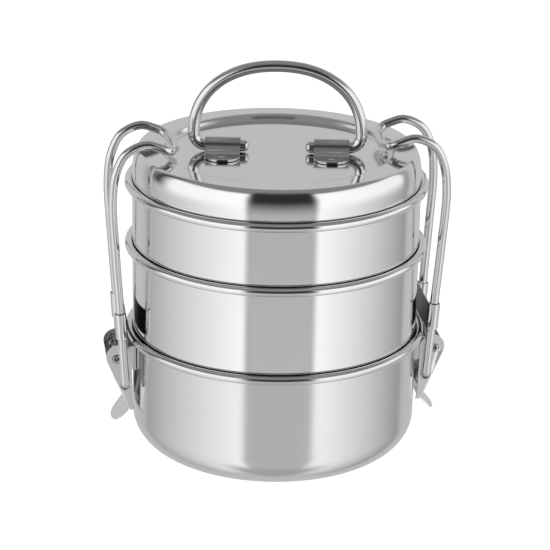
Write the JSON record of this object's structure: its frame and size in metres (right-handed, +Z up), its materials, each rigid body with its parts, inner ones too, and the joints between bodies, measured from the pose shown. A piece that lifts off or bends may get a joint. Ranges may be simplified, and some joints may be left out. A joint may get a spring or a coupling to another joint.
{
  "type": "tiffin carrier",
  "caption": "Stacked round steel food bowls under a recessed lid with a folding bail handle, held by an over-centre lever clip with a wire hook on each side.",
  "frame": {"origin": "centre of the bottom bowl's base, on the plane it stands on", "axes": "+Z up the stack, clips on +X and -X, front towards -Y"},
  "size_m": [0.168, 0.1472, 0.1939],
  "materials": {
    "polished_sheet": "mirror-polished stainless steel sheet",
    "wire": "bright drawn stainless wire",
    "pressed_strip": "pressed stainless strip, lightly scuffed"
  },
  "bodies": {
    "bottom_bowl": {"bottom_bowl": "polished_sheet", "clip_bracket_left": "pressed_strip", "pivot_pin_left": "wire", "clip_bracket_right": "pressed_strip", "pivot_pin_right": "wire"},
    "lever_left": {"lever_left": "pressed_strip"},
    "hook_left": {"hook_wire_left": "wire", "link_plate_left": "pressed_strip"},
    "lever_right": {"lever_right": "pressed_strip"},
    "hook_right": {"hook_wire_right": "wire", "link_plate_right": "pressed_strip"},
    "middle_bowl": {"middle_bowl": "polished_sheet"},
    "top_bowl": {"top_bowl": "polished_sheet"},
    "lid": {"lid": "polished_sheet", "handle_strap_left": "pressed_strip", "handle_strap_right": "pressed_strip"},
    "handle": {"handle": "wire"}
  },
  "joints": [
    {"name": "lever_left_open", "type": "hinge", "parent": "bottom_bowl", "child": "lever_left", "pos_m": [-0.0789, 0, 0.0481], "axis": [0, 1, 0], "range_deg": [0, 80]},
    {"name": "hook_left_swing", "type": "hinge", "parent": "lever_left", "child": "hook_left", "pos_m": [-0.0749, 0, 0.034], "axis": [0, -1, 0], "range_deg": [0, 168]},
    {"name": "lever_right_open", "type": "hinge", "parent": "bottom_bowl", "child": "lever_right", "pos_m": [0.0789, 0, 0.0481], "axis": [0, -1, 0], "range_deg": [0, 80]},
    {"name": "hook_right_swing", "type": "hinge", "parent": "lever_right", "child": "hook_right", "pos_m": [0.0749, 0, 0.034], "axis": [0, 1, 0], "range_deg": [0, 168]},
    {"name": "middle_bowl_lift", "type": "slide", "parent": "bottom_bowl", "child": "middle_bowl", "axis": [0, 0, 1], "range_m": [0, 0.006]},
    {"name": "top_bowl_lift", "type": "slide", "parent": "middle_bowl", "child": "top_bowl", "axis": [0, 0, 1], "range_m": [0, 0.006]},
    {"name": "lid_lift", "type": "slide", "parent": "top_bowl", "child": "lid", "axis": [0, 0, 1], "range_m": [0, 0.006]},
    {"name": "handle_swing", "type": "hinge", "parent": "lid", "child": "handle", "pos_m": [0, 0, 0.15115], "axis": [0.9877, -0.1564, 0], "range_deg": [-90, 90]}
  ],
  "couplings": [
    {"joint": "top_bowl_lift", "follows": "middle_bowl_lift", "ratio": 1},
    {"joint": "lid_lift", "follows": "middle_bowl_lift", "ratio": 1},
    {"joint": "lever_left_open", "follows": "middle_bowl_lift", "rad_per_m": 232.7},
    {"joint": "lever_right_open", "follows": "middle_bowl_lift", "rad_per_m": 232.7},
    {"joint": "hook_left_swing", "follows": "middle_bowl_lift", "rad_per_m": 488.68},
    {"joint": "hook_right_swing", "follows": "middle_bowl_lift", "rad_per_m": 488.68}
  ]
}
